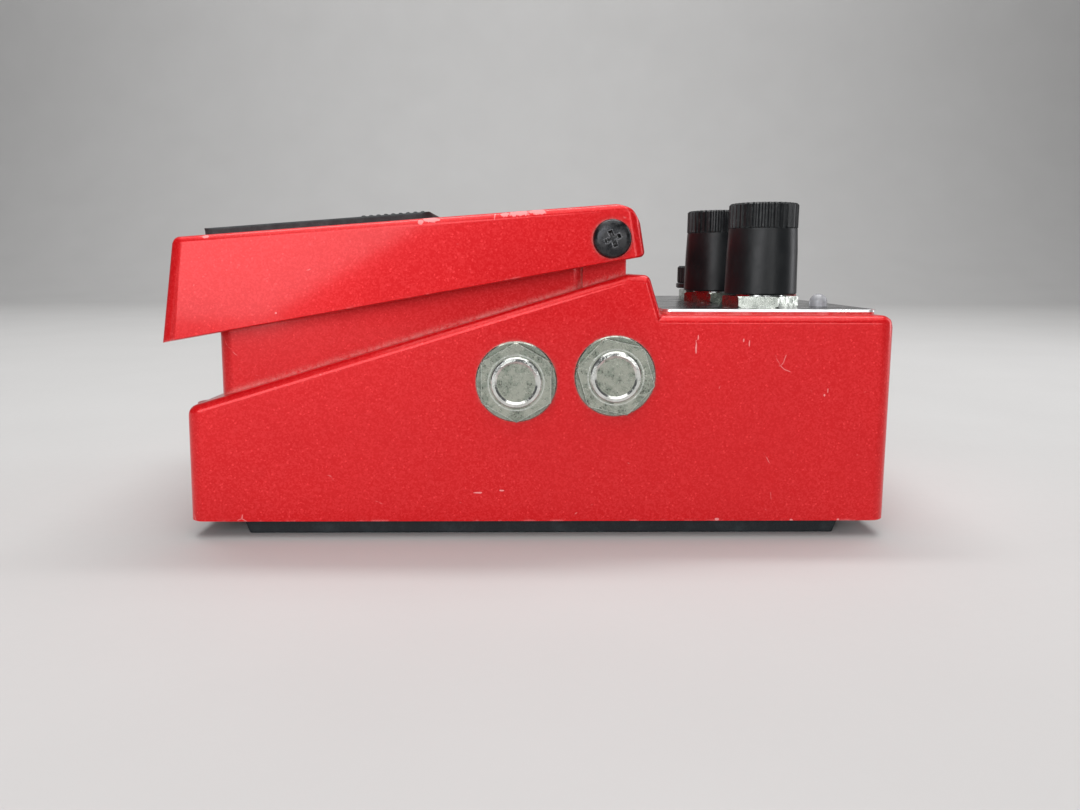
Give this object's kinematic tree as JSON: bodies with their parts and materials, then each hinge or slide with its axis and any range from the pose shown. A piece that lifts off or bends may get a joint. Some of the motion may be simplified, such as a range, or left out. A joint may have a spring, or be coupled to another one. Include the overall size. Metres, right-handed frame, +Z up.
{
  "type": "guitar effects pedal",
  "caption": "Compact guitar effects pedal: a hinged treadle over a sprung foot switch, rotary controls on the rear deck, audio jacks on both sides, rubber base.",
  "frame": {"origin": "on the ground, under the middle of the pedal's length and width", "axes": "+X from the treadle's toe to the rear face, +Y from the input side to the output side, +Z up"},
  "size_m": [0.129, 0.073, 0.06],
  "materials": {
    "red_paint": "fine metallic gloss enamel on die-cast alloy, lightly worn",
    "plate_steel": "black painted pressed steel",
    "black_screw": "black oxide steel",
    "mat_rubber": "soft moulded rubber",
    "tread_rubber": "grained moulded rubber",
    "fibre": "insulating fibre sheet",
    "board": "solder-masked circuit board",
    "zinc": "zinc plated",
    "component": "moulded component cases",
    "cable_grey": "flat cable",
    "panel_black": "dark glossy printed face, bare metal edges",
    "nickel": "aged nickel plate, speckled",
    "jack_moulding": "moulded black plastic",
    "wire_red": "insulated wire",
    "lamp_clear": "clear moulded lens",
    "lamp_red": "red tinted lens",
    "nylon": "natural nylon",
    "spring_steel": "drawn spring wire",
    "battery_wrap": "plain printed battery jacket",
    "snap_black": "moulded snap",
    "foam": "foam strip",
    "knob_black": "satin black moulding"
  },
  "bodies": {
    "case": {"enclosure": "red_paint", "bottom_plate": "plate_steel", "bottom_plate_screws": "black_screw", "rubber_mat": "mat_rubber", "insulating_sheet": "fibre", "main_board": "board", "main_board_screws": "zinc", "board_components": "component", "control_board": "board", "ribbon_cable": "cable_grey", "panel_plate": "panel_black", "near_pot": "zinc", "middle_pot": "zinc", "dual_pot": "zinc", "pot_nuts": "nickel", "input_jack_front": "jack_moulding", "input_jack_rear": "jack_moulding", "output_jack_front": "jack_moulding", "output_jack_rear": "jack_moulding", "jack_washers": "nickel", "jack_nuts": "nickel", "jack_wires": "wire_red", "power_jack": "jack_moulding", "power_jack_pin": "zinc", "clear_lamp": "lamp_clear", "red_lamp": "lamp_red", "guide_bush": "nylon", "foot_switch": "jack_moulding", "foot_switch_screws": "zinc", "switch_seal": "mat_rubber", "battery": "battery_wrap", "battery_terminals": "zinc", "battery_snap": "snap_black", "battery_leads": "wire_red", "battery_foam": "foam", "hinge_screws": "black_screw"},
    "press_link": {"near_hinge_bush": "nylon", "far_hinge_bush": "nylon", "coil_spring": "spring_steel"},
    "treadle": {"treadle": "red_paint", "treadle_pad": "tread_rubber", "actuator_pad": "mat_rubber"},
    "thumbscrew_clip": {"thumbscrew_clip": "zinc"},
    "thumbscrew": {"thumbscrew": "black_screw"},
    "switch_plunger": {"switch_plunger": "nylon"},
    "near_control": {"near_shaft": "zinc", "near_knob": "knob_black"},
    "middle_control": {"middle_shaft": "zinc", "middle_knob": "knob_black"},
    "ring_control": {"dual_outer_shaft": "zinc", "dual_ring_knob": "knob_black"},
    "top_control": {"dual_inner_shaft": "zinc", "dual_top_knob": "knob_black"}
  },
  "joints": [
    {"name": "treadle_press", "type": "hinge", "parent": "case", "child": "press_link", "pos_m": [0.0136, 0, 0.0532], "axis": [0, 1, 0], "range_deg": [-2.6, 0], "stiffness_Nm_per_rad": 11.3, "springref_deg": 0.14, "deforming": ["coil_spring"]},
    {"name": "treadle_open", "type": "hinge", "parent": "press_link", "child": "treadle", "pos_m": [0.0136, 0, 0.0532], "axis": [0, 1, 0], "range_deg": [0, 50]},
    {"name": "thumbscrew_travel", "type": "slide", "parent": "treadle", "child": "thumbscrew_clip", "axis": [1, 0, 0], "range_m": [0, 0.0022]},
    {"name": "thumbscrew_turn", "type": "hinge", "parent": "thumbscrew_clip", "child": "thumbscrew", "pos_m": [-0.06, 0, 0.0434], "axis": [1, 0, 0], "range_deg": [0, 1131.48]},
    {"name": "switch_travel", "type": "slide", "parent": "case", "child": "switch_plunger", "axis": [0, 0, 1], "range_m": [-0.0026, 0]},
    {"name": "near_knob_turn", "type": "hinge", "parent": "case", "child": "near_control", "pos_m": [0.043, -0.0215, 0.0435], "axis": [0, 0, 1], "range_deg": [-150, 150]},
    {"name": "middle_knob_turn", "type": "hinge", "parent": "case", "child": "middle_control", "pos_m": [0.0394, 0, 0.0435], "axis": [0, 0, 1], "range_deg": [-150, 150]},
    {"name": "ring_knob_turn", "type": "hinge", "parent": "case", "child": "ring_control", "pos_m": [0.0423, 0.021, 0.0435], "axis": [0, 0, 1], "range_deg": [-150, 150]},
    {"name": "top_knob_turn", "type": "hinge", "parent": "case", "child": "top_control", "pos_m": [0.0423, 0.021, 0.0435], "axis": [0, 0, 1], "range_deg": [-150, 150]}
  ],
  "couplings": [
    {"joint": "switch_travel", "follows": "treadle_press", "m_per_rad": 0.0555},
    {"joint": "thumbscrew_turn", "follows": "thumbscrew_travel", "rad_per_m": 8976}
  ]
}
